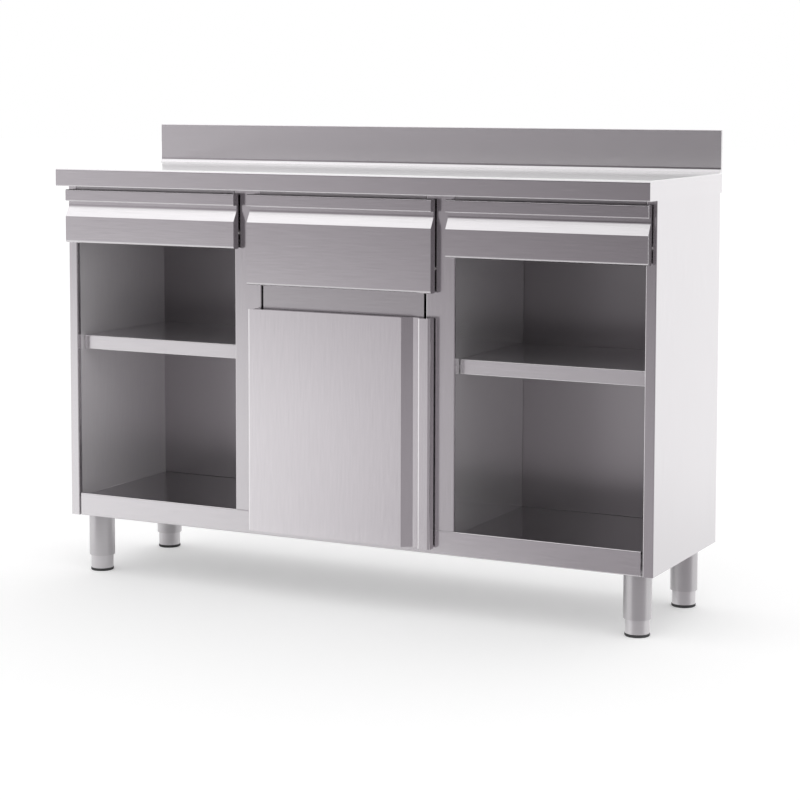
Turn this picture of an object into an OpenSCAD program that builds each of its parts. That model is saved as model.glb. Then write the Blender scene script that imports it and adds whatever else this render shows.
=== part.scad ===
// Coffee machine cabinet of folded stainless sheet, with three drawers, a door and two open bays.
// Millimetres. X is the length, Y runs from front to back, Z is up.
// The origin is on the floor, below the middle of the worktop.

/* [Worktop] */
// Length of the worktop
worktop_l = 1600; // [1400:10:1800]
// Depth of the worktop, splashback included
worktop_d = 500; // [480:5:600]
// Height of the working surface above the floor
worktop_h = 1050; // [1000:5:1100]
// Height of the folded skirt round the worktop
skirt_h = 46; // [40:1:50]
// Depth of the fold under the front skirt
skirt_return = 22; // [12:1:40]
// Outer radius of the worktop's front edge
edge_r = 6; // [3:0.5:8]
// Rise of the splashback above the working surface
splash_h = 105; // [60:5:150]
// Thickness of the folded splashback
splash_t = 10; // [8:0.5:14]
// Radius of the cove at the foot of the splashback
cove_r = 14; // [6:1:18]
// How far the worktop stands out over the body at the front
front_overhang = 52; // [46:1:70]
// How far the worktop stands out over the body at the back, rear skirt included
rear_overhang = 6; // [2:0.5:12]
// How far the worktop stands out over the body at each side, skirt included
side_overhang = 1.5; // [1.4:0.1:3]
// Height of the hat-section stiffeners under the worktop
stiffener_h = 25; // [15:1:30]
// Width of the web of a stiffener
stiffener_w = 60; // [40:1:80]
// Width of a stiffener's flanges under the deck
stiffener_lip = 15; // [8:1:20]
// How far the cross rails under the worktop reach down behind the drawer fronts
top_rail_lap = 12; // [6:1:20]

/* [Body] */
// Height of the body's lower edge above the floor
leg_h = 150; // [130:1:180]
// Width of the front stile of a side panel
stile_w = 26; // [20:1:35]
// Depth of the return behind a stile and behind the base panel's lip
stile_return = 12; // [8:1:16]
// Width of the fold at the rear and lower edge of a side panel
panel_return = 20; // [12:1:22]
// Clear width of an open bay
bay_w = 472; // [420:1:520]
// Width of a divider's front flange
flange_w = 75.6; // [60:0.2:90]
// Distance from the body's back to the face of the back panel
back_inset = 37; // [30:1:45]
// Depth of the back panel's flanges
back_return = 25; // [15:1:28]
// Inner radius of the sharp bend at the foot of the back panel
back_foot_r = 0.3; // [0.2:0.1:1.5]
// How far the centre rail reaches up behind the middle drawer and down behind the door
rail_lap = 12; // [8:1:13]
// Open seam between the rail and each divider
seam_w = 5.4; // [3:0.2:8]
// Depth of the centre rail's folds
rail_return = 20; // [15:1:30]
// Width of the angles that hold the centre rail on the dividers
rail_angle_w = 35; // [20:1:45]
// Thickness of these angles
rail_angle_t = 2; // [1.5:0.5:3]
// Height of the base panel's front rail
base_h = 58; // [50:1:70]
// Drop from the base rail's top edge to the floor of the bays
lip_h = 9; // [5:1:12]
// Open seam between the base rail and each stile
base_seam = 4.5; // [2:0.5:6]

/* [Shelves] */
// Height of the upper face of a shelf above the floor
shelf_z = 616.5; // [480:0.5:700]
// Height of a shelf's front fold
shelf_fold = 36; // [20:1:45]
// How far a shelf's front stands back from the body's front
shelf_setback = 27; // [15:1:60]
// Height of a shelf's side and rear folds
shelf_side = 15; // [10:1:18]
// Height of the hem behind a shelf's front fold
shelf_hem = 9; // [6:1:12]
// Gap between a shelf and each wall
shelf_gap = 2; // [2:0.5:4]
// Radius of a shelf peg
peg_r = 3.5; // [2.5:0.5:5]
// How far a shelf peg stands out of the wall
peg_l = 11; // [8:1:16]
// How far a peg's collar stands out round the peg
peg_collar = 2.5; // [1:0.5:4]
// Thickness of a peg's collar
peg_collar_t = 1.5; // [1:0.1:1.6]
// Distance of the pegs from a shelf's front and from the back panel
peg_in = 50; // [30:1:80]

/* [Fronts] */
// Gap between the body's front and the back of the drawer fronts and the door
front_gap = 5; // [4:0.5:7]
// Thickness of the drawer fronts and the door
front_t = 23; // [20:0.5:26]
// Gap between the worktop's skirt and the drawer fronts
top_gap = 9; // [4:1:14]
// How far an outer drawer front laps over its stile
stile_lap = 15.1; // [12:0.1:17]
// How far an outer drawer front laps over its divider
divider_lap = 12.9; // [12:0.1:17]
// How far the middle drawer front laps over each divider
middle_lap = 25.1; // [22:0.1:28]
// Height of the outer drawer fronts
drawer_h = 136; // [125:1:150]
// Height of the middle drawer front
tall_drawer_h = 222; // [200:1:235]
// Height of the strip above a drawer's pull channel
strip_h = 30; // [24:1:34]
// Height of the floor of a drawer's pull channel
channel_h = 13; // [10:1:18]
// Height of the slanted face below a drawer's pull channel
slant_h = 26; // [20:1:32]
// Depth of the pull channels
channel_d = 15; // [10:0.5:16]
// Inner radius of the bend between a drawer's channel floor and its slanted face
channel_r = 20; // [2:1:30]
// Outer radius of a drawer front's upper edge
front_top_r = 4; // [2:0.5:5]
// Outer radius of the plain edges of a front
front_r = 6; // [4:0.5:7]
// Depth of the folds behind a front
front_return = 14; // [10:1:14]
// Height of the folds along a back pan
pan_fold = 4; // [3:0.5:6]

/* [Door] */
// How far the door laps over each divider
door_lap = 24.1; // [23:0.1:26]
// Height of the rail that shows between the middle drawer and the door
rail_show = 59; // [50:1:70]
// Height of the door's lower edge above the body's lower edge
door_up = 15; // [10:1:18]
// Width of the strip beside the door's pull channel
door_strip_w = 34; // [28:1:40]
// Width of the floor of the door's pull channel
door_channel_w = 17.6; // [14:0.2:20]
// Width of the slanted face of the door's pull channel
door_slant_w = 23.6; // [18:0.2:28]
// Distance of the pivot from the door's hinged edge
pivot_in = 10; // [9:0.5:11]
// Radius of the pivot pins
pin_r = 3; // [2.5:0.25:3.5]
// How far a pin's head stands out round the pin
pin_head = 1.5; // [1:0.25:2]
// Thickness of a pin's head
pin_head_t = 1; // [0.8:0.1:1.4]
// Length of a pin beyond its lug
pin_reach = 12; // [8:1:14]
// Height of the notch at each end of the door, where the hinge lug turns
notch_h = 5.3; // [5.3:0.1:7]
// How far the notch reaches past the pivot
notch_in = 10; // [9.5:0.5:12]
// Thickness of a hinge lug
lug_t = 3; // [2:0.25:3.25]
// Half the width of a hinge lug
lug_r = 6; // [5:0.5:6]
// Width of a pivot block
block_w = 17; // [14:0.5:20]
// Height of a pivot block
block_h = 16; // [12:1:30]
// Distance of a pivot block from the door's hinged edge
block_in = 3; // [2:0.5:4]
// Gap between a pivot block and the back of the door's face
block_front_gap = 2; // [1:0.5:3]
// Thickness of a hinge bracket
bracket_t = 2.5; // [2:0.25:3]
// Width of a hinge bracket's plate
bracket_w = 34; // [28:1:40]
// Height of a hinge bracket's plate
bracket_h = 20; // [16:1:26]
// Radius of the screw heads on a bracket
screw_r = 3.5; // [2.5:0.25:4]
// Height of these screw heads
screw_h = 2; // [1:0.25:3]
// Distance between the two screws of a bracket
screw_pitch = 22; // [16:1:24]
// Width of the magnetic catch
catch_w = 12; // [10:1:16]
// Height of the magnetic catch
catch_h = 50; // [40:1:60]
// Depth of the magnetic catch
catch_l = 32; // [20:1:40]
// Width of the catch's strike on the door
strike_w = 20; // [16:1:24]

/* [Drawers] */
// Length of the drawer boxes
box_l = 375; // [350:1:380]
// Height of the outer drawer boxes
box_h = 80; // [64:1:95]
// Height of the middle drawer box
tall_box_h = 165; // [140:1:175]
// Gap between a drawer box and the fold behind its front
box_fold_gap = 2; // [1:0.5:4]
// Width of the rolled rim of a drawer box
box_rim = 8; // [5:1:12]
// Length of the telescopic slides
slide_l = 350; // [320:1:360]
// Height of a slide
slide_h = 45; // [36:1:50]
// Thickness of a closed slide
slide_t = 12.7; // [12:0.1:14]
// Distance of the slides behind the body's front
slide_in = 3; // [2:0.5:6]
// Height of the middle drawer's slides above the underside of its box
tall_slide_up = 60; // [40:1:100]
// Thickness of the slides' steel
slide_sheet = 1.2; // [1:0.1:1.4]
// Running gap between neighbouring members of a slide
slide_gap = 0.4; // [0.3:0.05:0.5]
// Radius of a buffer behind a drawer front
buffer_r = 4; // [3:0.5:4]
// Distance of a buffer from the end of its drawer front
buffer_in = 5.5; // [5.5:0.25:7]
// Distance of the outer drawers' buffers below the front's upper edge
buffer_down = 98; // [90:1:105]
// Distance of the middle drawer's buffers below the front's upper edge
tall_buffer_down = 165; // [150:1:180]
// Radius of the knock bar
knock_r = 8; // [6:0.5:10]
// Radius of the knock bar's end flanges
knock_flange_r = 16; // [12:1:20]
// Thickness of the knock bar's end flanges
knock_flange_t = 2; // [1.5:0.5:4]
// Radius of the knock bar's rubber sleeve
knock_sleeve_r = 15; // [12:1:18]
// Length of the knock bar's rubber sleeve
knock_sleeve_l = 300; // [200:5:360]
// Least distance of the sleeve from each wall of the box
knock_clear = 40; // [20:1:60]
// Distance from the middle drawer box's front wall to the knock bar
knock_in = 105; // [60:1:200]
// Distance of the knock bar below the rim of its drawer box
knock_down = 24; // [20:1:60]

/* [Legs] */
// Outer radius of a leg tube
tube_r = 33; // [32:0.5:34]
// Wall of a leg tube
tube_wall = 1.5; // [1.2:0.1:2]
// Distance from the body's side to the middle of a leg
leg_in_x = 57; // [56:0.5:90]
// Distance from the body's front to the middle of a front leg
leg_in_front = 55; // [55:0.5:80]
// Distance from the body's back to the middle of a rear leg
leg_in_rear = 67; // [58:0.5:90]
// Length of a foot that shows below its tube, sole included
foot_show = 41; // [36:0.5:50]
// Radius of a foot
foot_r = 28.75; // [26:0.25:29]
// Radius of a foot's rubber sole
sole_r = 29.5; // [27:0.25:32]
// Thickness of a foot's rubber sole
sole_t = 7; // [4:0.5:10]
// Chamfer of a sole's lower edge
sole_edge = 1.5; // [0.5:0.25:2]
// Height of the plug that holds a sole in its foot
plug_h = 8; // [5:1:12]
// Length of a foot that is hidden in its tube
foot_in = 34; // [30:1:36]
// Wall of a foot
foot_wall = 2; // [1.5:0.5:3]
// Thickness of a foot's crown
foot_crown = 4; // [3:0.5:6]
// Chamfer of a foot's upper edge
foot_edge = 2; // [0.5:0.5:3]
// Radius of a foot's spindle
spindle_r = 8; // [6:0.5:10]
// Chamfer of a spindle's end
spindle_edge = 1; // [0.5:0.5:2]
// Length of a spindle above its insert
spindle_over = 38; // [28:1:40]
// Distance of the threaded insert above the foot
insert_up = 17; // [16:1:20]
// Height of the threaded insert
insert_h = 20; // [12:1:22]
// Height of the guide ring in a tube's lower end
guide_h = 12; // [8:1:16]
// Width of the plate on top of a leg tube
leg_plate_w = 80; // [74:1:84]
// Thickness of the plate on top of a leg tube
leg_plate_t = 3; // [2:0.5:4]

/* [Sheet and fits] */
// Thickness of the stainless sheet
sheet = 1.2; // [1:0.1:1.5]
// Inner radius of an ordinary bend
bend_r = 1.2; // [0.8:0.1:1.5]
// Gap between a piece and its flat seat
seat_gap = 0.2; // [0.1:0.05:0.3]
// Radial running clearance of the pins in their bores
pin_gap = 0.05; // [0.03:0.01:0.1]
// Clearance round a part that passes through a slot or a guide
slot_gap = 0.5; // [0.3:0.1:0.8]
// Slack of the hinge lugs, the buffers, the catch and the slides
slack = 0.3; // [0.2:0.05:0.4]

/* [Hidden] */

$fn = 96;
// Flats in each bend of a folded sheet
bend_steps = 5;
// Extra reach of a cutting solid past the surface it cuts
cut = 1;

// Main planes of the body
body_half = worktop_l / 2 - side_overhang;
front_y = -worktop_d / 2 + front_overhang;
back_y = worktop_d / 2 - rear_overhang;
bay_back_y = back_y - back_inset;
bay_out_x = body_half - stile_w;
bay_in_x = bay_out_x - bay_w;
centre_x = bay_in_x - flange_w;
rail_half = centre_x - seam_w;
deck_under_z = worktop_h - sheet;
panel_top_z = deck_under_z - stiffener_h;
base_top_z = leg_h + base_h;
floor_z = base_top_z - lip_h;
lip_y = front_y + stile_return;

// Planes of the fronts
front_back_y = front_y - front_gap;
front_face_y = front_back_y - front_t;
front_top_z = worktop_h - skirt_h - top_gap;
door_top = front_top_z - tall_drawer_h - rail_show;
rail_top_z = front_top_z - tall_drawer_h + rail_lap;
rail_bottom_z = door_top - rail_lap;
outer_front_w = stile_lap + bay_w + divider_lap;
outer_front_x = bay_in_x - divider_lap + outer_front_w / 2;
middle_front_w = 2 * (centre_x + middle_lap);
pan_back_y = front_back_y - sheet - seat_gap;
pan_front_y = pan_back_y - sheet;

// Pivot of the door
door_half = centre_x + door_lap;
door_bottom = leg_h + door_up;
pivot_x = -door_half + pivot_in;
pivot_y = front_back_y - front_t / 2;
block_bottom_z = door_bottom + notch_h;
block_top_z = door_top - notch_h;
low_lug_z = block_bottom_z - slack - lug_t;
high_lug_z = block_top_z + slack;
pin_head_r = pin_r + pin_head;
bracket_x = -centre_x - sheet - bend_r - seat_gap;

// Drawer boxes and slides
slide_room = slide_t + seat_gap;
tall_box_half = centre_x - slide_room;
box_front_y = pan_back_y + seat_gap;
box_bottom_up = front_return + box_fold_gap;
box_bottom_z = front_top_z - drawer_h + box_bottom_up;
tall_box_bottom_z = front_top_z - tall_drawer_h + box_bottom_up;
slide_front_y = front_y + slide_in;
slide_z = box_bottom_z + box_h / 2;
tall_slide_z = tall_box_bottom_z + tall_slide_up;
bay_mid_x = (bay_in_x + bay_out_x) / 2;
buffer_l = front_y - slack - pan_back_y - seat_gap;
knock_y = box_front_y + knock_in;
knock_z = tall_box_bottom_z + tall_box_h - knock_down;

// Legs
leg_x = body_half - leg_in_x;
leg_front_y = front_y + leg_in_front;
leg_rear_y = back_y - leg_in_rear;
leg_plate_top = floor_z - sheet - seat_gap;
tube_top_z = leg_plate_top - leg_plate_t;
tube_in_r = tube_r - tube_wall;
foot_top_z = foot_show + foot_in;
insert_z = foot_top_z + insert_up;
spindle_top_z = insert_z + insert_h + spindle_over;

// Middle of the magnetic catch
catch_z = (door_top + door_bottom) / 2;

// Unit vector along v
function unit(v) = v / norm(v);
// First two values of a path point
function flat(p) = [p[0], p[1]];
// Vector turned a quarter turn to the left
function left_of(v) = [-v[1], v[0]];
// Vector turned by an angle
function turned(v, a) = [v[0] * cos(a) - v[1] * sin(a), v[0] * sin(a) + v[1] * cos(a)];
// Points of one sheet face round corner i of a path: side 0 is the drawn face, side 1 the face on its left
function bend(path, i, t, side) =
    let (p = flat(path[i]))
    let (u = unit(p - flat(path[i - 1])))
    let (w = unit(flat(path[i + 1]) - p))
    let (turn = sign(cross(u, w)))
    let (angle = acos(u * w))
    let (inner = len(path[i]) > 2 ? path[i][2] : bend_r)
    let (drawn_r = turn > 0 ? inner + t : inner)
    let (face_r = drawn_r - side * turn * t)
    let (centre = p - u * drawn_r * tan(angle / 2) + left_of(u) * turn * drawn_r)
    [for (k = [0 : bend_steps]) centre - turned(left_of(u) * turn, turn * angle * k / bend_steps) * face_r];
// Points of a whole sheet face along a path, with its corners bent
function sheet_face(path, t, side) =
    let (last = len(path) - 1)
    let (start = flat(path[0]) + left_of(unit(flat(path[1]) - flat(path[0]))) * t * side)
    let (end = flat(path[last]) + left_of(unit(flat(path[last]) - flat(path[last - 1]))) * t * side)
    [start, for (i = [1 : last - 1]) each bend(path, i, t, side), end];
// Outline of a folded sheet: a third value of a path point is the inner radius of its bend
function sheet_outline(path, t) =
    let (back = sheet_face(path, t, 1))
    concat(sheet_face(path, t, 0), [for (i = [len(back) - 1 : -1 : 0]) back[i]]);

// Extrudes a drawing of Y and Z along X, centred
module along_x(l) {
    rotate([90, 0, 90]) linear_extrude(l, center = true) children();
}
// Extrudes a drawing of X and Z towards the back, from y0
module along_y(y0, l) {
    translate([0, y0 + l, 0]) rotate([90, 0, 0]) linear_extrude(l) children();
}
// Extrudes a drawing of X and Y upwards, from z0 to z1
module along_z(z0, z1) {
    translate([0, 0, z0]) linear_extrude(z1 - z0) children();
}
// Box between two opposite corners
module box(low, high) {
    translate(low) cube(high - low);
}
// The same solid on both sides of the middle plane
module both_sides() {
    children();
    mirror([1, 0, 0]) children();
}
// Placed on the left or the right half of the cabinet
module on_side(side) {
    if (side < 0) mirror([1, 0, 0]) children();
    else children();
}

module worktop() {
    path = [
        [worktop_d / 2, worktop_h - skirt_h],
        [worktop_d / 2, worktop_h + splash_h],
        [worktop_d / 2 - splash_t, worktop_h + splash_h],
        [worktop_d / 2 - splash_t, worktop_h, cove_r],
        [-worktop_d / 2, worktop_h, edge_r - sheet],
        [-worktop_d / 2, worktop_h - skirt_h],
        [-worktop_d / 2 + skirt_return, worktop_h - skirt_h]
    ];
    color("silver") {
        along_x(worktop_l - 2 * sheet) polygon(sheet_outline(path, sheet));
        both_sides() translate([(worktop_l - sheet) / 2, 0, 0])
            along_x(sheet) polygon(sheet_face(path, sheet, 0));
    }
}

// Rail in the body's front plane, folded to the back at its upper and lower edge
module front_rail(w, high, low) {
    along_x(w) polygon(sheet_outline([
        [front_y + rail_return, high], [front_y, high], [front_y, low], [front_y + rail_return, low]
    ], sheet));
}

// Two hat sections along the worktop, and a cross rail above each opening of the body
module worktop_stiffeners() {
    inset = stiffener_w;
    web = stiffener_w / 2;
    top = deck_under_z - seat_gap;
    bottom = panel_top_z + sheet;
    high = panel_top_z - seat_gap;
    low = front_top_z - top_rail_lap;
    color("silver") {
        for (y = [front_y + inset, back_y - inset])
            translate([0, y, 0]) along_x(2 * body_half - 2 * sheet) polygon(sheet_outline([
                [web + stiffener_lip, top], [web, top], [web, bottom],
                [-web, bottom], [-web, top], [-web - stiffener_lip, top]
            ], sheet));
        front_rail(2 * (centre_x - seat_gap), high, low);
        both_sides() translate([bay_mid_x, 0, 0]) front_rail(bay_w - 2 * seat_gap, high, low);
    }
}

// Outer skin of a side panel, folded round into the front stile
module side_panel(side) {
    path = [
        [bay_out_x, front_y + stile_return],
        [bay_out_x, front_y],
        [body_half, front_y],
        [body_half, back_y],
        [body_half - panel_return, back_y]
    ];
    color("gainsboro") on_side(side) {
        along_z(leg_h, panel_top_z - seat_gap) polygon(sheet_outline(path, sheet));
        box([body_half - panel_return, front_y + sheet / 2, leg_h],
            [body_half - sheet / 2, back_y - sheet / 2, leg_h + sheet]);
    }
}

// Wall sheet with a fold at its rear edge, its face towards the middle of the cabinet
module wall_sheet(face_x, y0, y1, fold) {
    along_z(floor_z + seat_gap, panel_top_z - seat_gap)
        polygon(sheet_outline([[face_x + fold, y1], [face_x, y1], [face_x, y0]], sheet));
}

module side_liner(side) {
    color("darkgray") on_side(side)
        wall_sheet(bay_out_x, lip_y + seat_gap, back_y - sheet - seat_gap, panel_return / 2);
}

module divider(side) {
    rear_y = bay_back_y - seat_gap;
    path = [
        [centre_x, front_y + stile_return],
        [centre_x, front_y],
        [bay_in_x, front_y],
        [bay_in_x, rear_y],
        [bay_in_x - panel_return, rear_y]
    ];
    color("silver") difference() {
        on_side(side) difference() {
            along_z(floor_z + seat_gap, panel_top_z - seat_gap) polygon(sheet_outline(path, sheet));
            box([centre_x - cut, front_y - cut, floor_z],
                [bay_in_x + cut, lip_y + bend_r + seat_gap, base_top_z + seat_gap]);
        }
        hinge_slot(high_lug_z);
    }
}

module divider_liner(side) {
    color("darkgray") on_side(side)
        wall_sheet(centre_x, lip_y + bend_r + seat_gap, bay_back_y - seat_gap, panel_return / 2);
}

// Slot that a hinge lug passes through
module hinge_slot(z) {
    half = lug_r + slot_gap;
    box([pivot_x - half, front_y - cut, z - slot_gap],
        [pivot_x + half, front_y + bend_r + cut, z + lug_t + slot_gap]);
}

module centre_rail() {
    top = rail_top_z;
    angle_y = front_y + rail_return;
    reach = centre_x - seat_gap;
    color("silver") {
        front_rail(2 * rail_half, top, rail_bottom_z);
        both_sides() along_z(rail_bottom_z, top) polygon(sheet_outline([
            [reach - rail_angle_w, angle_y - rail_angle_t],
            [reach, angle_y - rail_angle_t],
            [reach, angle_y + rail_angle_w]
        ], rail_angle_t));
    }
}

module base_panel() {
    half = bay_out_x - seat_gap;
    rear_y = back_y - sheet - seat_gap;
    path = [
        [rear_y - panel_return, leg_h],
        [rear_y, leg_h],
        [rear_y, floor_z],
        [lip_y, floor_z],
        [lip_y, base_top_z],
        [front_y, base_top_z],
        [front_y, leg_h],
        [front_y + rail_return, leg_h]
    ];
    color("silver") difference() {
        along_x(2 * half) polygon(sheet_outline(path, sheet));
        both_sides() box([bay_out_x - base_seam, front_y - cut, leg_h - cut],
            [bay_out_x + cut, front_y + rail_return + cut, base_top_z + cut]);
        hinge_slot(low_lug_z);
    }
}

module back_panel() {
    half = bay_out_x - seat_gap;
    low = floor_z + seat_gap;
    high = panel_top_z - seat_gap;
    rear = bay_back_y + back_return;
    color("darkgray") {
        along_x(2 * half - 2 * sheet) polygon(sheet_outline([
            [rear, high], [bay_back_y, high], [bay_back_y, low, back_foot_r], [rear, low]
        ], sheet));
        both_sides() box([half - sheet, bay_back_y, low], [half, rear, high]);
    }
}

module shelf(side) {
    front = front_y + shelf_setback;
    rear = bay_back_y - shelf_gap;
    half = bay_w / 2 - shelf_gap;
    path = [
        [rear, shelf_z - shelf_side],
        [rear, shelf_z],
        [front, shelf_z],
        [front, shelf_z - shelf_fold],
        [front + shelf_side, shelf_z - shelf_fold],
        [front + shelf_side, shelf_z - shelf_fold + shelf_hem]
    ];
    color("silver") translate([side * bay_mid_x, 0, 0]) {
        along_x(2 * half) polygon(sheet_outline(path, sheet));
        both_sides() box([half - sheet, front + sheet / 2, shelf_z - shelf_side],
            [half, rear - sheet / 2, shelf_z - sheet / 2]);
    }
}

module shelf_pegs() {
    z = shelf_z - shelf_side - seat_gap - peg_r;
    rows = [front_y + shelf_setback + peg_in, bay_back_y - peg_in];
    color("dimgray") for (side = [-1, 1], wall = [-1, 1], y = rows)
        translate([side * bay_mid_x + wall * (bay_w / 2 - seat_gap), y, z]) rotate([0, -90 * wall, 0]) {
            cylinder(h = peg_l, r = peg_r);
            cylinder(h = peg_collar_t, r = peg_r + peg_collar);
        }
}

// Leg tube with the plate that fixes it under the floor of the base panel
module leg_tube(x, y) {
    plate = leg_plate_w / 2;
    length = tube_top_z - foot_show + cut;
    color("silver") translate([x, y, 0]) {
        ring(foot_show, length, tube_r, tube_in_r);
        box([-plate, -plate, tube_top_z], [plate, plate, leg_plate_top]);
    }
}

// Threaded insert and guide ring inside each leg tube
module leg_bushes() {
    outer = tube_in_r - seat_gap;
    color("dimgray") for (x = [-leg_x, leg_x], y = [leg_front_y, leg_rear_y]) translate([x, y, 0]) {
        ring(insert_z, insert_h, outer, spindle_r + pin_gap);
        ring(foot_show, guide_h, outer, foot_r + slot_gap);
    }
}

module ring(z, h, outer, inner) {
    translate([0, 0, z]) difference() {
        cylinder(h = h, r = outer);
        translate([0, 0, -cut]) cylinder(h = h + 2 * cut, r = inner);
    }
}

// Foot: a cup that slides in the tube, with its threaded spindle
module foot(x, y) {
    color("gainsboro") translate([x, y, 0]) rotate_extrude() polygon([
        [0, foot_top_z - foot_crown], [foot_r - foot_wall, foot_top_z - foot_crown],
        [foot_r - foot_wall, sole_t], [foot_r, sole_t],
        [foot_r, foot_top_z - foot_edge], [foot_r - foot_edge, foot_top_z],
        [spindle_r, foot_top_z], [spindle_r, spindle_top_z - spindle_edge],
        [spindle_r - spindle_edge, spindle_top_z], [0, spindle_top_z]
    ]);
}

// Rubber sole with a plug that grips the foot's wall from inside
module sole(x, y) {
    plug_r = foot_r - foot_wall - seat_gap;
    color("dimgray") translate([x, y, 0]) rotate_extrude() polygon([
        [0, 0], [sole_r - sole_edge, 0], [sole_r, sole_edge],
        [sole_r, sole_t - sole_edge / 2], [sole_r - sole_edge / 2, sole_t - seat_gap],
        [plug_r, sole_t - seat_gap], [plug_r, sole_t + plug_h], [0, sole_t + plug_h]
    ]);
}

// Folded front with a pull channel: end caps close it, and its length runs along X
module front_skin(w, h) {
    z = front_top_z;
    face = front_face_y;
    back = front_back_y;
    path = [
        [back, z - front_return],
        [back, z],
        [face, z, front_top_r - sheet],
        [face, z - strip_h],
        [face + channel_d, z - strip_h],
        [face + channel_d, z - strip_h - channel_h, channel_r],
        [face, z - strip_h - channel_h - slant_h],
        [face, z - h, front_r - sheet],
        [back, z - h],
        [back, z - h + front_return]
    ];
    along_x(w - 2 * sheet) polygon(sheet_outline(path, sheet));
    both_sides() translate([(w - sheet) / 2, 0, 0]) along_x(sheet) polygon(sheet_face(path, sheet, 0));
}

// Flat pan that closes the back of a front, with a stiffening fold at its upper and lower edges
module back_pan(w, low, high) {
    along_x(w) polygon(sheet_outline([
        [pan_front_y - pan_fold, low], [pan_back_y, low], [pan_back_y, high], [pan_front_y - pan_fold, high]
    ], sheet));
}

// The three drawers: side is -1 for the left one, 0 for the middle one, 1 for the right one
function front_w(side) = side == 0 ? middle_front_w : outer_front_w;
function front_h(side) = side == 0 ? tall_drawer_h : drawer_h;
function opening_half(side) = side == 0 ? centre_x : bay_w / 2;
function box_low(side) = side == 0 ? tall_box_bottom_z : box_bottom_z;
function box_high(side) = box_low(side) + (side == 0 ? tall_box_h : box_h);
function slide_mid(side) = side == 0 ? tall_slide_z : slide_z;
function buffer_z(side) = front_top_z - (side == 0 ? tall_buffer_down : buffer_down);

module drawer_front(side) {
    color("gainsboro") translate([side * outer_front_x, 0, 0]) front_skin(front_w(side), front_h(side));
}

module drawer_pan(side) {
    in = sheet + bend_r + seat_gap;
    low = front_top_z - front_h(side) + in;
    color("silver") translate([side * outer_front_x, 0, 0])
        back_pan(front_w(side) - 2 * (sheet + seat_gap), low, front_top_z - in);
}

module drawer_buffers(side) {
    color("white") translate([side * outer_front_x, 0, buffer_z(side)]) both_sides()
        translate([front_w(side) / 2 - buffer_in, pan_back_y + seat_gap, 0])
            rotate([-90, 0, 0]) cylinder(h = buffer_l, r = buffer_r);
}

// Drawer box with a rolled rim, open at the top
module drawer_box(side) {
    half = opening_half(side) - slide_room;
    low = box_low(side);
    high = box_high(side);
    rim = half - box_rim;
    path = [[-rim, high], [-half, high], [-half, low], [half, low], [half, high], [rim, high]];
    color("darkgray") translate([side * bay_mid_x, 0, 0]) {
        along_y(box_front_y, box_l) polygon(sheet_outline(path, sheet));
        for (y = [box_front_y, box_front_y + box_l - sheet])
            box([-half + sheet / 2, y, low + sheet / 2], [half - sheet / 2, y + sheet, high - sheet / 2]);
    }
}

// Telescopic slides: the sections' X is the distance from the wall, and one lies on each wall of an opening
slide_mid_in = slide_sheet + slide_gap;
slide_mid_z = slide_h / 2 - slide_mid_in;
slide_inner_z = slide_mid_z - slide_mid_in;
slide_outer_tip = slide_t - slide_gap;
slide_mid_tip = slide_outer_tip - slide_gap - slack;
outer_path = [
    [slide_outer_tip, slide_h / 2], [0, slide_h / 2], [0, -slide_h / 2], [slide_outer_tip, -slide_h / 2]
];
middle_path = [
    [slide_mid_tip, slide_mid_z], [slide_mid_in, slide_mid_z],
    [slide_mid_in, -slide_mid_z], [slide_mid_tip, -slide_mid_z]
];
inner_path = [
    [2 * slide_mid_in, -slide_inner_z], [slide_t, -slide_inner_z],
    [slide_t, slide_inner_z], [2 * slide_mid_in, slide_inner_z]
];

module slide_member(side, path) {
    color("gray") translate([side * bay_mid_x, 0, slide_mid(side)]) both_sides()
        translate([-opening_half(side), 0, 0])
            along_y(slide_front_y, slide_l) polygon(sheet_outline(path, slide_sheet));
}

module knock_bar() {
    half = tall_box_half - sheet - seat_gap;
    color("silver") translate([0, knock_y, knock_z]) {
        rotate([0, 90, 0]) cylinder(h = 2 * half, r = knock_r, center = true);
        both_sides() translate([half - knock_flange_t, 0, 0]) rotate([0, 90, 0])
            cylinder(h = knock_flange_t, r = knock_flange_r);
    }
}

module knock_sleeve() {
    length = min(knock_sleeve_l, 2 * (tall_box_half - knock_clear));
    color("dimgray") translate([0, knock_y, knock_z]) rotate([0, 90, 0]) difference() {
        cylinder(h = length, r = knock_sleeve_r, center = true);
        cylinder(h = length + 2 * cut, r = knock_r + pin_gap, center = true);
    }
}

// Solid in which the hinge lug turns, cut out of both ends of the door at its hinged edge
module door_notches() {
    for (z = [door_bottom - cut, block_top_z])
        box([-door_half - cut, front_face_y + sheet, z],
            [pivot_x + notch_in, front_back_y + cut, z + notch_h + cut]);
}

module door_skin() {
    face = front_face_y;
    back = front_back_y;
    strip_x = door_half - door_strip_w;
    channel_x = strip_x - door_channel_w;
    path = [
        [-door_half + front_return, back],
        [-door_half, back],
        [-door_half, face, front_r - sheet],
        [channel_x - door_slant_w, face],
        [channel_x, face + channel_d],
        [strip_x, face + channel_d],
        [strip_x, face, front_r - sheet],
        [door_half, face, front_r - sheet],
        [door_half, back],
        [door_half - front_return, back]
    ];
    color("gainsboro") difference() {
        union() {
            along_z(door_bottom + sheet, door_top - sheet) polygon(sheet_outline(path, sheet));
            for (z = [door_bottom, door_top - sheet])
                along_z(z, z + sheet) polygon(sheet_face(path, sheet, 0));
        }
        door_notches();
    }
}

module door_pan() {
    gap = sheet + seat_gap;
    color("silver") difference() {
        back_pan(2 * (door_half - gap - bend_r), door_bottom + gap, door_top - gap);
        door_notches();
    }
}

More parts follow.
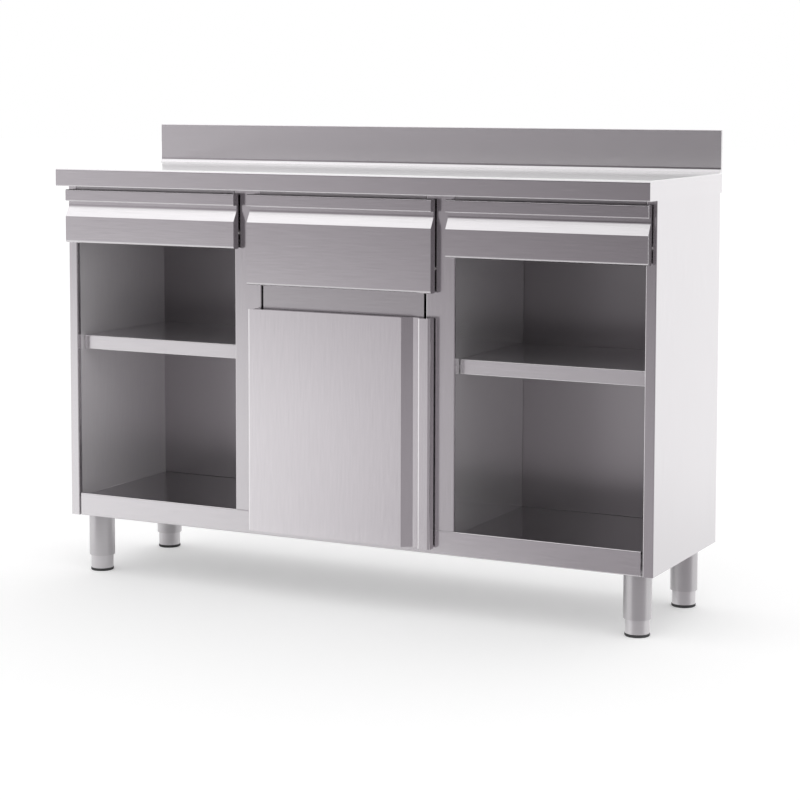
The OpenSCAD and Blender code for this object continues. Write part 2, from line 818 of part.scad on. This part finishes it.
module door_pivot_blocks() {
    x = -door_half + block_in;
    color("dimgray") for (z = [block_bottom_z, block_top_z - block_h]) difference() {
        box([x, front_face_y + sheet + block_front_gap, z],
            [x + block_w, pan_front_y - seat_gap, z + block_h]);
        translate([pivot_x, pivot_y, z - cut]) cylinder(h = block_h + 2 * cut, r = pin_r + pin_gap);
    }
}

module door_strike() {
    x = centre_x - seat_gap - catch_w / 2;
    color("silver") box([x - strike_w / 2, pan_back_y + seat_gap, catch_z - catch_h / 2],
        [x + strike_w / 2, front_back_y, catch_z + catch_h / 2]);
}

module magnetic_catch() {
    x = centre_x - seat_gap;
    y = front_back_y + slack;
    color("white") box([x - catch_w, y, catch_z - catch_h / 2], [x, y + catch_l, catch_z + catch_h / 2]);
}

// Bracket of one hinge: an upright plate behind the sheet, with the lug that carries the pin
module hinge_bracket(z, up) {
    plate_y = front_y + sheet + seat_gap;
    low = up > 0 ? z : z + lug_t - bracket_h;
    difference() {
        union() {
            translate([pivot_x, pivot_y, z]) cylinder(h = lug_t, r = lug_r);
            box([pivot_x - lug_r, pivot_y, z], [pivot_x + lug_r, plate_y + bracket_t, z + lug_t]);
            box([bracket_x - bracket_w, plate_y, low], [bracket_x, plate_y + bracket_t, low + bracket_h]);
        }
        translate([pivot_x, pivot_y, z - cut]) cylinder(h = lug_t + 2 * cut, r = pin_r + pin_gap);
    }
}

module hinge_brackets() {
    color("silver") {
        hinge_bracket(low_lug_z, 1);
        hinge_bracket(high_lug_z, -1);
    }
}

module hinge_pin() {
    translate([0, 0, -pin_head_t]) cylinder(h = pin_head_t, r = pin_head_r);
    cylinder(h = lug_t + pin_reach, r = pin_r);
}

module hinge_pins() {
    color("gray") {
        translate([pivot_x, pivot_y, low_lug_z]) hinge_pin();
        translate([pivot_x, pivot_y, high_lug_z + lug_t]) mirror([0, 0, 1]) hinge_pin();
    }
}

// Heads of the screws that hold the hinge brackets
module bracket_screws() {
    y = front_y + sheet + seat_gap + bracket_t;
    down = bracket_h / 2;
    color("gray") for (z = [low_lug_z + down, high_lug_z + lug_t - down], dx = [-0.5, 0.5])
        translate([bracket_x - bracket_w / 2 + dx * screw_pitch, y, z])
            rotate([-90, 0, 0]) cylinder(h = screw_h, r = screw_r);
}

worktop();
worktop_stiffeners();
side_panel(-1);  // side_panel_left
side_panel(1);  // side_panel_right
side_liner(-1);  // side_liner_left
side_liner(1);  // side_liner_right
divider(-1);  // divider_left
divider(1);  // divider_right
divider_liner(-1);  // divider_liner_left
divider_liner(1);  // divider_liner_right
centre_rail();
base_panel();
back_panel();
shelf(-1);  // shelf_left
shelf(1);  // shelf_right
shelf_pegs();
leg_tube(-leg_x, leg_front_y);  // leg_tube_front_left
leg_tube(leg_x, leg_front_y);  // leg_tube_front_right
leg_tube(-leg_x, leg_rear_y);  // leg_tube_rear_left
leg_tube(leg_x, leg_rear_y);  // leg_tube_rear_right
leg_bushes();
slide_member(-1, outer_path);  // slide_outer_left
slide_member(0, outer_path);  // slide_outer_centre
slide_member(1, outer_path);  // slide_outer_right
hinge_brackets();
hinge_pins();
magnetic_catch();
bracket_screws();
slide_member(-1, middle_path);  // slide_middle_left
slide_member(0, middle_path);  // slide_middle_centre
slide_member(1, middle_path);  // slide_middle_right
drawer_front(-1);  // drawer_front_left
drawer_pan(-1);  // drawer_pan_left
drawer_box(-1);  // drawer_box_left
slide_member(-1, inner_path);  // slide_inner_left
drawer_buffers(-1);  // drawer_buffers_left
drawer_front(0);  // drawer_front_centre
drawer_pan(0);  // drawer_pan_centre
drawer_box(0);  // drawer_box_centre
slide_member(0, inner_path);  // slide_inner_centre
drawer_buffers(0);  // drawer_buffers_centre
knock_bar();
knock_sleeve();
drawer_front(1);  // drawer_front_right
drawer_pan(1);  // drawer_pan_right
drawer_box(1);  // drawer_box_right
slide_member(1, inner_path);  // slide_inner_right
drawer_buffers(1);  // drawer_buffers_right
door_skin();
door_pan();
door_pivot_blocks();
door_strike();
foot(-leg_x, leg_front_y);  // foot_front_left
foot(leg_x, leg_front_y);  // foot_front_right
foot(-leg_x, leg_rear_y);  // foot_rear_left
foot(leg_x, leg_rear_y);  // foot_rear_right
sole(-leg_x, leg_front_y);  // sole_front_left
sole(leg_x, leg_front_y);  // sole_front_right
sole(-leg_x, leg_rear_y);  // sole_rear_left
sole(leg_x, leg_rear_y);  // sole_rear_right
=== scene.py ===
"""Looks of a coffee machine cabinet: satin stainless sheet, drawers with pull channels, a door and open bays.

Everything is in metres in the frame of the solids: X along the length, Y towards the back, Z up from the floor.
"""
import math
from collections import namedtuple

import bpy
import numpy as np
from mathutils import Matrix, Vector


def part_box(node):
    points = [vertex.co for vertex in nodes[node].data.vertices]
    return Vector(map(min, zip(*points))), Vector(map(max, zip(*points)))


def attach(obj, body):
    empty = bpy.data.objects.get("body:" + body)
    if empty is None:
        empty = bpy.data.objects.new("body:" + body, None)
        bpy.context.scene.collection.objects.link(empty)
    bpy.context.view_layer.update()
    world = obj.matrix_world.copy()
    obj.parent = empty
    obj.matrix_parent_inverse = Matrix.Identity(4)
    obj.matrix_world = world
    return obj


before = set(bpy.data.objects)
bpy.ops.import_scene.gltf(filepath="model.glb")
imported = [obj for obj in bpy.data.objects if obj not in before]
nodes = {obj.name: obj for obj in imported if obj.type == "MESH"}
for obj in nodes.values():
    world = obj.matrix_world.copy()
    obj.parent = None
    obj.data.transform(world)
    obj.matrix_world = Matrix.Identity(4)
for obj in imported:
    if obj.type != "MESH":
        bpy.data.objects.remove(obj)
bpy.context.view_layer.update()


# Shader maths
class Link:
    """One output of a node. Arithmetic on it adds Math nodes to its tree."""

    def __init__(self, tree, socket):
        self.tree, self.socket = tree, socket

    def maths(self, operation, a, b):
        return self.tree.add("ShaderNodeMath", {"operation": operation}, {0: a, 1: b})

    def __add__(self, other): return self.maths("ADD", self, other)
    def __radd__(self, other): return self.maths("ADD", other, self)
    def __sub__(self, other): return self.maths("SUBTRACT", self, other)
    def __rsub__(self, other): return self.maths("SUBTRACT", other, self)
    def __mul__(self, other): return self.maths("MULTIPLY", self, other)
    def __rmul__(self, other): return self.maths("MULTIPLY", other, self)
    def __truediv__(self, other): return self.maths("DIVIDE", self, other)
    def __pow__(self, other): return self.maths("POWER", self, other)

    def above(self, other): return self.maths("MAXIMUM", self, other)
    def below(self, other): return self.maths("MINIMUM", self, other)

    def out(self, name):
        """Another output of the same node."""
        return Link(self.tree, self.socket.node.outputs[name])

    def ramp(self, low, high, at_low=0.0, at_high=1.0):
        """Smooth step of this value: at_low up to low, at_high from high on."""
        return self.tree.add("ShaderNodeMapRange", {"interpolation_type": "SMOOTHSTEP"}, {
            "Value": self, "From Min": low, "From Max": high, "To Min": at_low, "To Max": at_high})


class Tree:
    """A node tree that is filled one node at a time."""

    def __init__(self, owner):
        owner.use_nodes = True
        self.nodes, self.links = owner.node_tree.nodes, owner.node_tree.links
        self.nodes.clear()

    def add(self, kind, settings=None, sockets=None, out=0):
        """A node of that kind: its settings first, then the values or links of its sockets. Gives one output."""
        node = self.nodes.new(kind)
        for name, value in (settings or {}).items():
            setattr(node, name, value)
        for key, value in (sockets or {}).items():
            if isinstance(value, Link):
                self.links.new(value.socket, node.inputs[key])
            else:
                node.inputs[key].default_value = value
        return Link(self, node.outputs[out]) if len(node.outputs) else None

    def mixed(self, share, low, high):
        """Colour between low and high by a share."""
        return self.add("ShaderNodeMix", {"data_type": "RGBA"}, {"Factor": share, 6: low, 7: high}, out=2)


def grey(level, mauve=0.0):
    """A neutral colour, with a share of mauve: more red and blue than green."""
    return (level * (1 + mauve), level * (1 - mauve), level * (1 + 0.7 * mauve), 1.0)


def noise(tree, place, stretch, detail=2.0, rough=0.5):
    """Noise at so many cells a metre along X, Y and Z."""
    drawn = tree.add("ShaderNodeMapping", {}, {"Vector": place, "Scale": stretch})
    return tree.add("ShaderNodeTexNoise", {}, {"Vector": drawn, "Scale": 1.0, "Detail": detail, "Roughness": rough})


# Places on the cabinet
WORKTOP_Z = 1.05  # Level of the worktop
BAY_BACK_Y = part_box("back_panel")[0][1]  # Front face of the back panel
BEHIND_FRONT = 0.003  # Depth behind a front edge at which the hidden faces begin

# Grain and clouds of the sheet, in cells a metre
ALONG_X, ALONG_Z, ROUND_Z = "x", "z", "round"
ACROSS, ALONG, ROUND = 1500.0, 14.0, 0.5
GRAIN = {ALONG_X: (ALONG, ACROSS, ACROSS), ALONG_Z: (ACROSS, ACROSS, ALONG), ROUND_Z: (ROUND, ROUND, ACROSS)}
COARSER = 5  # The wider scratches have so many times fewer cells across the grain
CLOUD_CELLS = (2.3, 2.9, 2.1)
FINE_SHARE = 0.6  # Share of the fine scratches in the grain, the wider ones being the rest
MARK_GAIN, CLOUD_GAIN = 2.2, 2.0  # They bring the noises to about -1 to 1
MARK_GLOSS, CLOUD_GLOSS, LEAST_ROUGH = 0.03, 0.02, 0.05  # Their pull on the roughness, and its lowest value
RELIEF, RELIEF_T = 0.08, 0.00003  # Strength and depth of the scratches' bump

# Tones of the sheet
MAUVE = 0.015  # Share of mauve in its grey
TONE_SPREAD = 0.20  # How far scratches and clouds can take it from its tone, up and down
LIT_TOP_TONES = (1.18, 1.34)  # Darkest and brightest of the painted light on a top face, as shares of the tone
LIT_TOP_MATT, SPLASH_MATT = 0.7, 0.16  # Matt shares of the top face with painted light and of what stands above it
DIM_TONE, DIM_SHARE, DIM_FADE = 0.02, 0.4, 0.06  # Dark grey, its largest share, and half the height of its fade
INNER_SPREAD = 0.09  # The same as the tone's spread, for the tone of the inner faces

# Where those faces fade in and out, as distances from the face or edge
FACE_FADE = (0.0003, 0.0009)  # Behind a wall's front face
INSIDE_FADE = 0.003  # Behind a front edge, and again behind the back of the bays
LIT_TOP_BELOW, LIT_TOP_ABOVE = (-0.002, -0.0005), (0.0005, 0.004)  # Heights at which the painted light of a top face begins and ends
SPLASH_FADE = (0.01, 0.02)  # Heights over which the sheet above it begins

# Shade that is painted on by the place on the sheet. It follows the light in the photograph, was chosen one by one,
# and is no finish that was seen on the metal. Dim darkens a wall's front face, which lies at face_y, above a height.
# Inner gives the faces between behind_y and the back of the bays a tone of their own by a share, and a matt share.
Dim = namedtuple("Dim", "face_y above_z")
Inner = namedtuple("Inner", "behind_y tone share matt")


def steel(name, tone, rough, grain=ALONG_X, scratch=0.05, cloud=0.03, matt=0.0, lit_top_z=None, dim=None, inner=None):
    """Stainless sheet: short scratches along the grain in colour, gloss and bump, over a broad faint cloud.

    A share of the light can come back matt. A level face at the given height gets painted light: its colour is paler,
    most of its light comes back matt, and a little of the light above it does too.
    """
    material = bpy.data.materials.new(name)
    tree = Tree(material)
    place = tree.add("ShaderNodeTexCoord", out="Object")
    fine = noise(tree, place, GRAIN[grain], 3.0, 0.65)
    wider = tuple(cells / COARSER if cells == ACROSS else cells for cells in GRAIN[grain])
    coarse = noise(tree, place, wider, 2.0, 0.6)
    broad = noise(tree, place, CLOUD_CELLS, 3.0, 0.55)
    grain_mix = fine * FINE_SHARE + coarse * (1 - FINE_SHARE)
    marks = (grain_mix - 0.5) * MARK_GAIN
    clouds = (broad - 0.5) * CLOUD_GAIN
    level = (marks * scratch + clouds * cloud + 0.5).above(0.0).below(1.0)
    colour = tree.mixed(level, grey(tone * (1 - TONE_SPREAD), MAUVE), grey(min(1.0, tone * (1 + TONE_SPREAD)), MAUVE))
    gloss = (rough + marks * MARK_GLOSS - clouds * CLOUD_GLOSS).above(LEAST_ROUGH)
    relief = tree.add("ShaderNodeBump", {}, {"Strength": RELIEF, "Distance": RELIEF_T, "Height": grain_mix})
    metal = 1.0 - matt
    parts = tree.add("ShaderNodeSeparateXYZ", {}, {0: place})
    y, z = parts.out("Y"), parts.out("Z")
    if dim:
        face = y.ramp(*(dim.face_y + depth for depth in FACE_FADE), 1.0, 0.0)
        high = z.ramp(dim.above_z - DIM_FADE, dim.above_z + DIM_FADE)
        colour = tree.mixed(face * high * DIM_SHARE, colour, grey(DIM_TONE))
    # Painted light and shade: the faces behind behind_y take a painted tone by a share, with a matt share
    if inner:
        inside = y.ramp(inner.behind_y, inner.behind_y + INSIDE_FADE)
        inside = inside * y.ramp(BAY_BACK_Y, BAY_BACK_Y + INSIDE_FADE, 1.0, 0.0)
        own = tree.mixed(level, grey(inner.tone * (1 - INNER_SPREAD)), grey(inner.tone * (1 + INNER_SPREAD)))
        colour = tree.mixed(inside * inner.share, colour, own)
        metal = 1 - inside * inner.matt
    # Painted light: the level top face is paler and mostly matt, as if lit from above, and the sheet above it is a
    # little matt too
    if lit_top_z:
        lit_top = z.ramp(*(lit_top_z + height for height in LIT_TOP_BELOW))
        lit_top = lit_top * z.ramp(*(lit_top_z + height for height in LIT_TOP_ABOVE), 1.0, 0.0)
        painted_top_light = tree.mixed(level, *(grey(tone * share) for share in LIT_TOP_TONES))
        colour = tree.mixed(lit_top, colour, painted_top_light)
        over = z.ramp(*(lit_top_z + height for height in SPLASH_FADE))
        metal = 1 - lit_top * LIT_TOP_MATT - over * SPLASH_MATT
    surface = tree.add("ShaderNodeBsdfPrincipled", {}, {
        "Base Color": colour, "Metallic": metal, "Roughness": gloss, "Normal": relief})
    tree.add("ShaderNodeOutputMaterial", {}, {"Surface": surface})
    return material


def plain(name, colour, rough, bump=0.0001):
    """Moulded plastic or rubber: a fine even texture in colour, gloss and bump."""
    material = bpy.data.materials.new(name)
    tree = Tree(material)
    place = tree.add("ShaderNodeTexCoord", out="Object")
    fine = noise(tree, place, (900.0, 900.0, 900.0), 2.0, 0.6)
    broad = noise(tree, place, (25.0, 25.0, 25.0), 2.0, 0.5)
    level = (0.5 + (fine - 0.5) * 0.32 + (broad - 0.5) * 0.24).above(0.0).below(1.0)
    dark = tuple(0.8 * part for part in colour) + (1.0,)
    bright = tuple(min(1.0, 1.2 * part) for part in colour) + (1.0,)
    gloss = (rough + (fine - 0.5) * 0.12).above(0.05)
    relief = tree.add("ShaderNodeBump", {}, {"Strength": 0.3, "Distance": bump, "Height": fine})
    surface = tree.add("ShaderNodeBsdfPrincipled", {}, {
        "Base Color": tree.mixed(level, dark, bright), "Roughness": gloss, "Normal": relief})
    tree.add("ShaderNodeOutputMaterial", {}, {"Surface": surface})
    return material


def zinc_plate(name):
    """Bright zinc on pressed steel: cool, with patches a few millimetres wide."""
    material = bpy.data.materials.new(name)
    tree = Tree(material)
    place = tree.add("ShaderNodeTexCoord", out="Object")
    patch = noise(tree, place, (180.0, 60.0, 180.0), 3.0, 0.6)
    fine = noise(tree, place, (1500.0, 1500.0, 1500.0), 1.0, 0.5)
    colour = tree.mixed(patch, (0.52, 0.55, 0.58, 1.0), (0.74, 0.76, 0.78, 1.0))
    gloss = 0.30 + (patch - 0.5) * 0.15
    relief = tree.add("ShaderNodeBump", {}, {"Strength": 0.2, "Distance": 0.00005, "Height": fine})
    surface = tree.add("ShaderNodeBsdfPrincipled", {}, {
        "Base Color": colour, "Metallic": 1.0, "Roughness": gloss, "Normal": relief})
    tree.add("ShaderNodeOutputMaterial", {}, {"Surface": surface})
    return material


# Painted light on the uprights' inner faces, which are paler, and painted shade on the base's inner faces, which are
# darker
upright_inner = Inner(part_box("divider_right")[0][1] + BEHIND_FRONT, tone=0.92, share=0.4, matt=0.22)
base_inner = Inner(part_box("base_panel")[0][1] + BEHIND_FRONT, tone=0.40, share=0.6, matt=0.0)

worktop_steel = steel("worktop satin", 0.72, 0.20, scratch=0.34, lit_top_z=WORKTOP_Z)
front_steel = steel("drawer satin", 0.69, 0.16, scratch=0.34)
door_steel = steel("door satin", 0.79, 0.17, ALONG_Z, scratch=0.34)
panel_steel = steel("side satin", 0.71, 0.19, ALONG_Z, scratch=0.20)
upright_steel = steel("upright satin", 0.68, 0.18, ALONG_Z, scratch=0.26, inner=upright_inner)
shelf_steel = steel("shelf satin", 0.73, 0.20, scratch=0.34, matt=0.18)
base_steel = steel("base satin", 0.70, 0.18, scratch=0.34, inner=base_inner)
recess_steel = steel("recessed rail satin", 0.58, 0.20, scratch=0.34)
wall_steel = steel("bay walls", 0.86, 0.24, ALONG_Z, scratch=0.26, cloud=0.05, matt=0.48)
back_steel = steel("bay backs", 0.55, 0.30, cloud=0.05, dim=Dim(BAY_BACK_Y, above_z=0.60))
inner_steel = steel("inside sheet", 0.54, 0.28, cloud=0.05)
tube_steel = steel("ground tube", 0.58, 0.32, ROUND_Z, scratch=0.12, matt=0.18)
foot_steel = steel("turned foot", 0.67, 0.34, ROUND_Z, scratch=0.12, matt=0.26)
zinc = zinc_plate("zinc plate")
black_plastic = plain("black moulding", (0.03, 0.03, 0.032), 0.5)
white_plastic = plain("white moulding", (0.78, 0.78, 0.76), 0.45)
rubber = plain("dark rubber", (0.045, 0.045, 0.047), 0.75, bump=0.0003)

dress = {
    worktop_steel: ["worktop"],
    front_steel: ["drawer_front_left", "drawer_front_centre", "drawer_front_right"],
    door_steel: ["door_skin"],
    panel_steel: ["side_panel_left", "side_panel_right"],
    upright_steel: ["divider_left", "divider_right"],
    recess_steel: ["centre_rail"],
    base_steel: ["base_panel"],
    shelf_steel: ["shelf_left", "shelf_right"],
    wall_steel: ["side_liner_left", "side_liner_right", "divider_liner_left", "divider_liner_right"],
    inner_steel: ["worktop_stiffeners", "hinge_brackets", "drawer_pan_left", "drawer_pan_centre",
                  "drawer_pan_right", "drawer_box_left", "drawer_box_centre", "drawer_box_right", "door_pan",
                  "door_strike"],
    back_steel: ["back_panel"],
    tube_steel: ["leg_tube_front_left", "leg_tube_front_right", "leg_tube_rear_left", "leg_tube_rear_right",
                 "knock_bar"],
    foot_steel: ["foot_front_left", "foot_front_right", "foot_rear_left", "foot_rear_right"],
    zinc: ["slide_outer_left", "slide_outer_centre", "slide_outer_right", "slide_middle_left",
           "slide_middle_centre", "slide_middle_right", "slide_inner_left", "slide_inner_centre",
           "slide_inner_right", "hinge_pins", "bracket_screws"],
    black_plastic: ["shelf_pegs", "leg_bushes", "door_pivot_blocks"],
    white_plastic: ["magnetic_catch", "drawer_buffers_left", "drawer_buffers_centre", "drawer_buffers_right"],
    rubber: ["knock_sleeve", "sole_front_left", "sole_front_right", "sole_rear_left", "sole_rear_right"],
}
for finish, names in dress.items():
    for name in names:
        mesh = nodes[name].data
        mesh.materials.clear()
        mesh.materials.append(finish)


def heads_mesh(name, places, heads, finish, body):
    """One object of many closed heads: each is a grid of rings and spokes, an array of (rings, spokes, 3)."""
    rings, spokes = heads.shape[1:3]
    spots = heads.reshape(len(heads), -1, 3)
    ring, spoke = np.meshgrid(np.arange(rings - 1), np.arange(spokes), indexing="ij")
    ahead = (spoke + 1) % spokes
    quads = np.stack([ring * spokes + spoke, (ring + 1) * spokes + spoke,
                      (ring + 1) * spokes + ahead, ring * spokes + ahead], axis=-1).reshape(-1, 4)
    faces = []
    for number in range(len(spots)):
        first = number * rings * spokes
        faces += (quads + first).tolist()
        faces.append((np.arange(spokes) + first).tolist())
        faces.append((np.arange(spokes)[::-1] + first + (rings - 1) * spokes).tolist())
    mesh = bpy.data.meshes.new(name)
    mesh.from_pydata((spots + np.asarray(places)[:, None, :]).reshape(-1, 3).tolist(), [], faces)
    mesh.materials.append(finish)
    for face in mesh.polygons:
        face.use_smooth = len(face.vertices) == 4
    piece = bpy.data.objects.new(name, mesh)
    bpy.context.scene.collection.objects.link(piece)
    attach(piece, body)


def screw_head(facing, radius=0.0036, height=0.0022):
    """Pan head with a cross recess, standing on the origin.

    Along the radius r from the rim to the middle the height is (1 - (r / radius) ** 4) ** 0.5 of the full one.
    The recess takes off up to recess_depth of it inside recess_r, where the angle lies near an arm of the cross,
    and all round inside middle_r. The first ring is the foot of the rim, and facing is the unit direction in
    which the head stands. The second ring is the top of the rim, at a quarter of the height.
    """
    recess_depth, recess_r, middle_r, arm_width, lowest = 0.6, 0.52, 0.1, 0.3, 0.02
    facing = np.asarray(facing, float)
    side = np.cross(facing, (0.3, 0.5, 0.81))
    side /= np.linalg.norm(side)
    other = np.cross(facing, side)
    spokes = 24
    share = np.array([1.0, 1.0, 0.97, 0.88, 0.74, 0.58, 0.50, 0.38, 0.22, 0.08])[:, None]
    angle = np.arange(spokes) * 2 * np.pi / spokes
    dome = (1 - np.minimum(share, 0.999) ** 4) ** 0.5
    dome[1] = 0.25
    arm = np.abs(np.sin(2 * angle)) < arm_width
    recess = (arm & (share < recess_r)) | (share < middle_r)
    high = np.maximum(dome - recess * recess_depth, lowest) * height
    high[0] = 0.0
    along, across = share * radius * np.cos(angle), share * radius * np.sin(angle)
    return along[..., None] * side + across[..., None] * other + high[..., None] * facing


def drawer_fasteners():
    """Screws that hold each drawer front's pan on the box, with their heads inside the box's front wall."""
    sheet_t, row_inset, end_inset, columns = 0.0012, 0.022, 0.06, 3
    for side in ("left", "centre", "right"):
        low, high = (np.array(corner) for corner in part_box("drawer_box_" + side))
        rows = (low[2] + row_inset, high[2] - row_inset)
        along = np.linspace(low[0] + end_inset, high[0] - end_inset, columns)
        places = [(x, low[1] + sheet_t, z) for x in along for z in rows]
        heads = np.repeat(screw_head((0, 1, 0))[None], len(places), axis=0)
        heads_mesh("drawer_screws_" + side, places, heads, zinc, "drawer_" + side)


def studio_floor():
    """Wide pale floor. Part of its white is its own for the camera, so that the shadow stays soft.

    Far in front of the cabinet the floor lets the reflections in the metal pass into the dark side of the room.
    """
    reach, own_white, own_share = 40.0, 1.35, 0.2
    near_r, far_r = 0.75, 1.3
    corners = [(-reach, -reach, 0), (reach, -reach, 0), (reach, reach, 0), (-reach, reach, 0)]
    mesh = bpy.data.meshes.new("studio_floor")
    mesh.from_pydata(corners, [], [(0, 1, 2, 3)])
    floor = bpy.data.objects.new("studio_floor", mesh)
    bpy.context.scene.collection.objects.link(floor)
    material = bpy.data.materials.new("studio floor")
    tree = Tree(material)
    place = tree.add("ShaderNodeTexCoord", out="Object")
    parts = tree.add("ShaderNodeSeparateXYZ", {}, {0: place})
    # The floor that shows in the metal is an oval, with its centre left of the cabinet's, and wider than it is deep
    x, y = parts.out("X") + 0.4, parts.out("Y") * 1.3
    away = (x * x + y * y) ** 0.5
    seen = tree.add("ShaderNodeLightPath", out="Is Camera Ray")
    matt = tree.add("ShaderNodeBsdfDiffuse", {}, {"Color": grey(1.0)})
    own = tree.add("ShaderNodeEmission", {}, {"Color": grey(1.0), "Strength": own_white})
    open_way = tree.add("ShaderNodeBsdfTransparent", {}, {"Color": grey(1.0)})
    lit = tree.add("ShaderNodeMixShader", {}, {0: seen * own_share, 1: matt, 2: own})
    far = away.ramp(near_r, far_r) * seen.out("Is Glossy Ray")
    surface = tree.add("ShaderNodeMixShader", {}, {0: far, 1: lit, 2: open_way})
    tree.add("ShaderNodeOutputMaterial", {}, {"Surface": surface})
    mesh.materials.append(material)


def heading(x, y, degrees):
    """Cosine of the level angle between a direction and the one so many degrees to the right of the front."""
    turn = math.radians(degrees)
    return (x * math.sin(turn) - y * math.cos(turn)) / (x * x + y * y + 1e-6) ** 0.5


def sector(x, y, degrees, full, edge, depth=1.0):
    """Share of the room about a heading: depth within so many degrees of it, and none beyond the edge."""
    return heading(x, y, degrees).ramp(math.cos(math.radians(edge)), math.cos(math.radians(full)), 0.0, depth)


def studio_world():
    """White to the camera and to matt surfaces. Metal sees a white room that darkens low down in front.

    The room was shaped until the sheet had the grey steps of the photograph. A height z is the sine of the angle
    above level, and the ramp of a heading runs over its cosine.
    """
    lamp_white, glow_white, band_white, haze_white = 0.44, 0.17, 0.42, 0.25
    floor_tone, ceiling_tone = 0.84, 0.72
    world = bpy.data.worlds.new("studio")
    bpy.context.scene.world = world
    tree = Tree(world)
    way = tree.add("ShaderNodeTexCoord", out="Generated")
    parts = tree.add("ShaderNodeSeparateXYZ", {}, {0: way})
    x, y, z = parts.out("X"), parts.out("Y"), parts.out("Z")
    # The dark side of the room lies to the right of the front, on its wall and more weakly on its floor
    wide = sector(x, y, 20, full=30, edge=78)
    narrow = sector(x, y, 32, full=53, edge=67, depth=0.60)
    wall = (z + heading(x, y, 60).ramp(0.3, 0.9) * 0.02).ramp(-0.135, -0.062)
    below_ceiling = 1 - z.ramp(0.28, 0.6)
    dark = (wide * z.ramp(0.02, 0.14, 0.85, 0.97) * wall + narrow * (1 - wall)) * below_ceiling * z.ramp(-0.5, -0.3)
    glow = heading(x, y, -50).ramp(0.86, 1.0) * (1 - wall) * glow_white
    # A broad lamp high up on the left, and a softer light low behind the splashback
    lamp = z.ramp(0.45, 0.75) * heading(x, y, -70).ramp(0.75, 0.97) * lamp_white
    band = z.ramp(-0.02, 0.04) * z.ramp(0.2, 0.45, band_white, 0.0)
    behind = heading(x, y, -153).ramp(0.45, 1.0) * (band + z.ramp(0.3, 0.5, haze_white, 0.0))
    ends = z.ramp(-0.225, -0.17, floor_tone, 1.0) * z.ramp(0.83, 0.95, 1.0, ceiling_tone)
    level = (1.0 + lamp + behind + glow - dark) * ends
    path = tree.add("ShaderNodeLightPath", out="Is Camera Ray")
    direct = path.above(path.out("Is Diffuse Ray"))
    strength = direct + (1 - direct) * level
    colour = tree.mixed(dark * (1 - direct), grey(1.0), grey(1.0, 0.05))
    back = tree.add("ShaderNodeBackground", {}, {"Color": colour, "Strength": strength})
    tree.add("ShaderNodeOutputWorld", {}, {"Surface": back})


def photo_camera():
    """Camera at the photograph's place. Pan is turned from +Y towards -X, tilt is downwards, focal is in pixels."""
    place = (2.42121, -4.67228, 1.24433)
    pan, tilt, roll, focal = 0.46868, 0.08087, 0.00233, 2123.34
    sensor_mm, photo_px, shift_up, clip_end = 36.0, 800.0, -0.17, 200.0
    data = bpy.data.cameras.new("photo_camera")
    camera = bpy.data.objects.new("photo_camera", data)
    bpy.context.scene.collection.objects.link(camera)
    data.sensor_width = sensor_mm
    data.lens = focal * sensor_mm / photo_px
    data.shift_y = shift_up
    data.clip_end = clip_end
    look = np.array([-math.sin(pan) * math.cos(tilt), math.cos(pan) * math.cos(tilt), -math.sin(tilt)])
    right = np.array([math.cos(pan), math.sin(pan), 0.0])
    up = np.cross(right, look)
    right, up = math.cos(roll) * right + math.sin(roll) * up, -math.sin(roll) * right + math.cos(roll) * up
    turn = np.eye(4)
    turn[:3, 0], turn[:3, 1], turn[:3, 2], turn[:3, 3] = right, up, -look, place
    camera.matrix_world = Matrix(turn.tolist())
    bpy.context.scene.camera = camera


drawer_fasteners()
studio_floor()
studio_world()
photo_camera()
bpy.context.scene.view_settings.view_transform = "Standard"
